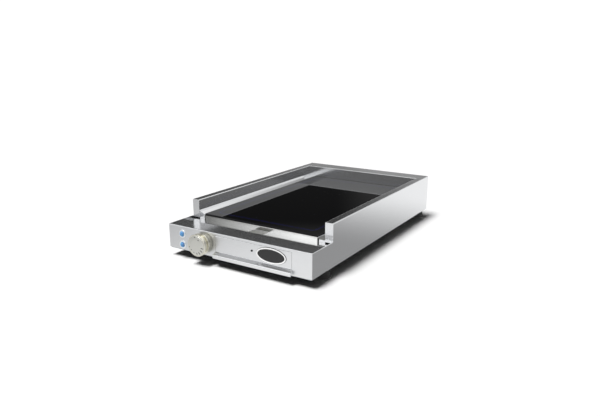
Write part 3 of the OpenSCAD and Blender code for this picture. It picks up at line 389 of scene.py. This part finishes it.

# %% [markdown]
# ## Marks printed on the dial
#
# The knob's disc carries nine small marks: a dot at the top, a short mark, three long
# lines, and a row of shorter ones that shrink to dots. They are ink, 0.1 mm proud of the
# disc, so that they are real shapes in the mesh too. Each is a small block with
# round corners, moved out from the middle and turned to its angle. The disc is flat in
# the middle and falls away to its rim. All marks start where it has fallen by more than
# the ink's 0.1 mm, so nothing stands past the solids' box. The long marks are cut across,
# and each corner is then set back by as much as the disc has fallen there. `piece_of`,
# which turns a finished shape into an object, serves the trim as well.

# %% Dial marks
cap_low, cap_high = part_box("knob_cap")
DIAL_R = (cap_high.x - cap_low.x) / 2
DIAL_MID = Vector(((cap_low.x + cap_high.x) / 2, cap_low.y, (cap_low.z + cap_high.z) / 2))
INK_T = 0.1 * MM
FLAT_R = 0.62 * DIAL_R
BAND_END = DIAL_R - 0.5 * MM
BAND_FALL = 1.2 * MM
LONG_MARK = 4 * MM
LONG_CUTS = 5
# a corner's radius as a share of the width, its steps, and the angle of a sharp edge in radians
CORNER = 0.45
CORNER_STEPS = 4
SHARP = 1
# angle clockwise from the top, middle as a share of the radius, length and width in mm
MARKS = [(-7, 0.86, 3.0, 3.0), (30, 0.72, 3.0, 2.2), (101, 0.81, 7.2, 1.9),
         (124, 0.805, 6.9, 1.9), (149, 0.805, 6.8, 1.9), (172, 0.79, 4.8, 2.0),
         (201, 0.79, 3.2, 1.6), (230, 0.79, 2.6, 2.6), (254, 0.87, 2.6, 2.6)]


def piece_of(shape, name, material):
    """Makes an object from a shape, with its material, and links it into the scene."""
    data = bpy.data.meshes.new(name)
    shape.to_mesh(data)
    shape.free()
    data.materials.append(material)
    made = bpy.data.objects.new(name, data)
    bpy.context.scene.collection.objects.link(made)
    return made


def fall_at(spot):
    """How far the disc has fallen at a spot on it, measured from its middle."""
    reach = math.hypot(spot.x, spot.z)
    return BAND_FALL * max(0.0, reach - FLAT_R) / (BAND_END - FLAT_R)


def one_mark(angle, share, length, width):
    """One mark in place, its corners rounded by a share of its width."""
    mark = bmesh.new()
    bmesh.ops.create_cube(mark, size=1)
    bmesh.ops.scale(mark, vec=(width * MM, INK_T, length * MM), verts=mark.verts)
    along = [e for e in mark.edges if e.calc_length() > LONG_MARK]
    bmesh.ops.subdivide_edges(mark, edges=along, cuts=LONG_CUTS, use_grid_fill=True)
    corners = [e for e in mark.edges
               if abs(e.verts[0].co.y - e.verts[1].co.y) > INK_T / 2
               and e.calc_face_angle() > SHARP]
    bmesh.ops.bevel(mark, geom=corners, offset=CORNER * width * MM, affect="EDGES",
                    segments=CORNER_STEPS, profile=0.5, material=-1)
    bmesh.ops.translate(mark, vec=(0, -INK_T / 2, DIAL_R * share), verts=mark.verts)
    turn = Matrix.Rotation(math.radians(angle), 3, "Y")
    bmesh.ops.rotate(mark, cent=(0, 0, 0), matrix=turn, verts=mark.verts)
    for vert in mark.verts:
        vert.co += DIAL_MID + Vector((0, fall_at(vert.co), 0))
    return mark


def dial_marks():
    """All marks as one piece; each goes through a mesh, which adds it to the whole."""
    carrier = bpy.data.meshes.new("mark_carrier")
    whole = bmesh.new()
    for row in MARKS:
        mark = one_mark(*row)
        mark.to_mesh(carrier)
        mark.free()
        whole.from_mesh(carrier)
    bpy.data.meshes.remove(carrier)
    made = piece_of(whole, "dial_marks", finish["dial_ink"])
    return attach(made, "knob")


ink = dial_marks()
print("dial marks:", len(MARKS), "with", len(ink.data.polygons), "faces")

# %% [markdown]
# ## Small trim: tabs under the coves, and a painted shadow ring round the badge
#
# Where the sloping cove ends at the front, two small tabs close the hollow below it. Each
# is a plate with four corners, made as one face and pushed back by the sheet's thickness.
# The upper tab on the right is a darker steel, painted shade in the hollow there.
# Round the badge's bright rim stands a thin dark ring, a painted shadow line: two ovals
# with a bridge between them make a flat ring, and extruding it gives it a little height.

# %% Trim
SHEET_T = 1.2 * MM
TAB_FRONT = 86.1 * MM
# corners of the two plates: from the shell's outside face, and up from its foot, in mm
LOWER_TAB = [(20.2, 52.3), (35.6, 52.3), (35.6, 58.4), (20.2, 58.4)]
UPPER_TAB = [(20.2, 58.6), (35.6, 58.6), (35.6, 62.4), (20.2, 71.2)]
# the painted shadow ring round the badge: gap to the rim, width, height and sides
EDGE_GAP = 0.05 * MM
EDGE_W = 0.7 * MM
EDGE_T = 0.5 * MM
EDGE_SIDES = 96
shell_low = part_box("side_shell_left")[0]
badge_low, badge_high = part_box("badge_rim")


def thicken(shape, faces, step):
    """Extrudes the faces by the vector step and turns all normals outward."""
    grown = bmesh.ops.extrude_face_region(shape, geom=faces)["geom"]
    moved = [part for part in grown if isinstance(part, bmesh.types.BMVert)]
    bmesh.ops.translate(shape, vec=step, verts=moved)
    bmesh.ops.recalc_face_normals(shape, faces=shape.faces)


def cove_tab(name, side, corners, material):
    """A plate below the cove's end; side is 1 on the left and -1 on the right."""
    plate = bmesh.new()
    verts = [plate.verts.new((side * (shell_low.x + x * MM), shell_low.y + TAB_FRONT,
                              shell_low.z + z * MM)) for x, z in corners]
    thicken(plate, bmesh.ops.contextual_create(plate, geom=verts)["faces"], (0, SHEET_T, 0))
    made = piece_of(plate, name, material)
    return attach(made, "body")


def badge_edge():
    """The dark ring round the badge's rim, a painted shadow, upright on the drawer's front."""
    middle = (badge_low + badge_high) / 2
    reach = (badge_high - badge_low) / 2
    upright = Matrix.Rotation(math.radians(90), 3, "X")
    ring = bmesh.new()
    loops = []
    for extra in (EDGE_GAP, EDGE_W):
        oval = bmesh.ops.create_circle(ring, segments=EDGE_SIDES, radius=1)["verts"]
        bmesh.ops.scale(ring, vec=(reach.x + extra, reach.z + extra, 1), verts=oval)
        loops += {edge for vert in oval for edge in vert.link_edges}
    thicken(ring, bmesh.ops.bridge_loops(ring, edges=loops)["faces"], (0, 0, EDGE_T))
    bmesh.ops.rotate(ring, cent=(0, 0, 0), matrix=upright, verts=ring.verts)
    bmesh.ops.translate(ring, vec=(middle.x, badge_high.y, middle.z), verts=ring.verts)
    # its black finish paints the shadow line round the badge's rim
    made = piece_of(ring, "badge_edge", finish["screw_blackened"])
    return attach(made, "drawer")


trim = [cove_tab("lower_tab_left", 1, LOWER_TAB, steel_along),
        cove_tab("upper_tab_left", 1, UPPER_TAB, steel_along),
        cove_tab("lower_tab_right", -1, LOWER_TAB, steel_along),
        # darker steel on this tab paints the shade in the hollow
        cove_tab("upper_tab_right", -1, UPPER_TAB, finish["weld_dulled_steel"]),
        badge_edge()]
print("trim:", [piece.name for piece in trim])

# %% [markdown]
# ## Floor
#
# The object stands on white paper. Steel shows the paper as well as itself. So the floor
# has two looks: plain white paper for the eye and for the light that it throws back, and,
# for mirror rays, a glow of painted light and shade: dimmer to the left in front, brighter
# than white to the right, and a painted shadow beside the right wall.
# Polished walls would also throw light back on the paper beside them and fill the shadow.
# The photograph has none of that, so a mirror ray that has left a matt surface finds
# nothing: an empty socket of a Mix Shader is black. From below the paper is clear, so
# that the underside can be looked at.

# %% Floor
FLOOR_HALF = 40
FIBRE_MM = 3
# The tones say how bright the paper glows in a mirror at the start and at the end of a run;
# both are painted light and shade. The runs are in metres: along X in front, along Y through
# the painted shadow beside the right wall. The last two say where, in X and in Y, the
# front's tone turns to the painted shadow's.
FRONT_TONE = (0.72, 1.2)
FRONT_RUN = (-0.5, 0.15)
CARD_TONE = (0.415, 1.2)
CARD_RUN = (-0.05, 0.55)
TURN_X = (0.12, 0.22)
TURN_Y = (-0.36, -0.3)
floor_data = bpy.data.meshes.new("floor")
floor_mesh = bmesh.new()
bmesh.ops.create_grid(floor_mesh, x_segments=1, y_segments=1, size=FLOOR_HALF)
floor_mesh.to_mesh(floor_data)
floor_mesh.free()
floor = bpy.data.objects.new("floor", floor_data)
bpy.context.scene.collection.objects.link(floor)


def mirror_rays(tree):
    """Two factors: a mirror ray straight from the eye, and one that has left a matt surface."""
    path = add(tree, "LightPath").outputs
    mirrored = path["Is Glossy Ray"]
    matt = math_of(tree, "GREATER_THAN", path["Diffuse Depth"], 0.5)
    clean = math_of(tree, "SUBTRACT", 1.0, matt)
    return math_of(tree, "MULTIPLY", mirrored, clean), math_of(tree, "MULTIPLY", mirrored, matt)


def by_mirror(tree, plain, mirrored):
    """The plain shader, the mirrored one in a clean mirror, and nothing for stray rays."""
    seen, stray = mirror_rays(tree)
    both = add(tree, "MixShader", {0: seen, 1: plain, 2: mirrored}).outputs[0]
    return add(tree, "MixShader", {0: stray, 1: both}).outputs[0]


paper, tree, shader = new_finish("backdrop_paper_white", Roughness=0.9)
fibres = pattern(tree, FIBRE_MM).outputs[0]
feed(tree, shader, "Base Color", blend_colours(tree, fibres, "#f4f4f4", "#f8f8f8"))
place = add(tree, "SeparateXYZ", {0: add(tree, "TexCoord").outputs["Object"]}).outputs
front_tone = ramp(tree, place[0], *FRONT_RUN, *FRONT_TONE)
# painted shadow beside the right wall, for mirror rays: dark towards the front, white towards the
# rear
side_tone = ramp(tree, place[1], *CARD_RUN, *CARD_TONE)
beside = math_of(tree, "MULTIPLY", ramp(tree, place[0], *TURN_X, 0, 1),
                 ramp(tree, place[1], *TURN_Y, 0, 1))
tone = add(tree, "Mix", {"Factor": beside, 2: front_tone, 3: side_tone}).outputs[0]
# for mirror rays the paper glows with this painted light and shade
toned = add(tree, "Emission", {"Strength": tone}).outputs[0]
from_above = by_mirror(tree, shader.outputs[0], toned)
below = add(tree, "NewGeometry").outputs["Backfacing"]
clear = add(tree, "BsdfTransparent").outputs[0]
sided = add(tree, "MixShader", {0: below, 1: from_above, 2: clear})
tree.links.new(sided.outputs[0], tree.get_output_node("ALL").inputs["Surface"])
floor_data.materials.append(paper)
print("floor at z", floor.location.z)

# %% [markdown]
# ## Studio surround
#
# The light on paper, rubber and plastic comes from a soft box overhead, so the shadow
# under the body is deep and its edge is short. It leans to the front and a little to the
# left. What the steel and the glass mirror is the room: bright above, darker at the
# sides, a second soft box in front on the left, a grey card above it, another low down
# in front, and dark cards low down behind on the left, which turn the flat tops dark and
# the plate black. The room is painted by direction: azimuth is measured from +Y towards
# +X, elevation from the horizon.

# %% Studio surround
BACKDROP = 1.1
# the overhead box: how bright, the faint light elsewhere, and its lean to +X and +Y
BOX = 29
FILL = 0.03
BOX_ACROSS = (-25, -11, -7, 1)
BOX_ALONG = (-34, -23, -6, 8)
# the room: brightness above and at the sides, and the elevations where one turns to the other
SKY = 1.3
SIDE = 0.72
SKY_EL = (20, 29)
# the second soft box and the cards: how bright, azimuth stops, elevation stops
FRONT_BOX = (2.0, (-164, -152, -118, -104), (12, 18.5, 24, 32))
GREY_CARD = (0.5, (-140, -128, -62, -50), (40, 48, 70, 78))
LOW_CARD = (0.45, (-178, -168, -149, -146), (1, 2, 13, 16))
DARK_CARD = (0.1, (-80, -66, -4, 3), (9, 14, 28, 46))
BLACK_CARD = (0.028, (-64, -56, -29, -24), (9, 13, 16.5, 18))
world = bpy.data.worlds.new("studio")
bpy.context.scene.world = world
world.use_nodes = True
tree = world.node_tree
tree.nodes.clear()


def between(tree, value, stops):
    """1 between the two middle stops, fading to 0 at the outer two; stops in degrees."""
    a, b, c, d = [math.radians(stop) for stop in stops]
    return math_of(tree, "MULTIPLY", ramp(tree, value, a, b, 0, 1), ramp(tree, value, c, d, 1, 0))


def patch(tree, first, first_stops, second, second_stops):
    """1 where both directions are between their stops."""
    return math_of(tree, "MULTIPLY", between(tree, first, first_stops),
                   between(tree, second, second_stops))


def glow(tree, strength):
    """White light of one strength for the world."""
    return add(tree, "Background", {"Color": (1, 1, 1, 1), "Strength": strength}).outputs[0]


way = add(tree, "SeparateXYZ", {0: add(tree, "TexCoord").outputs["Generated"]}).outputs
azimuth = math_of(tree, "ARCTAN2", way[0], way[1])
elevation = math_of(tree, "ARCSINE", way[2])
power = ramp(tree, elevation, *[math.radians(stop) for stop in SKY_EL], SIDE, SKY)
for level, across, upward in (FRONT_BOX, GREY_CARD, LOW_CARD, DARK_CARD, BLACK_CARD):
    card = patch(tree, azimuth, across, elevation, upward)
    power = add(tree, "Mix", {"Factor": card, 2: power, 3: level}).outputs[0]
to_right = math_of(tree, "ARCTAN2", way[0], way[2])
to_rear = math_of(tree, "ARCTAN2", way[1], way[2])
soft_box = spread(tree, patch(tree, to_right, BOX_ACROSS, to_rear, BOX_ALONG), FILL, BOX)
lit = by_mirror(tree, glow(tree, soft_box), glow(tree, power))
eye = add(tree, "LightPath").outputs["Is Camera Ray"]
shown = add(tree, "MixShader", {0: eye, 1: lit, 2: glow(tree, BACKDROP)})
add(tree, "OutputWorld", {"Surface": shown.outputs[0]})
bpy.context.scene.view_settings.view_transform = "Standard"
print("studio: overhead box", BOX, "sky", SKY, "sides", SIDE)
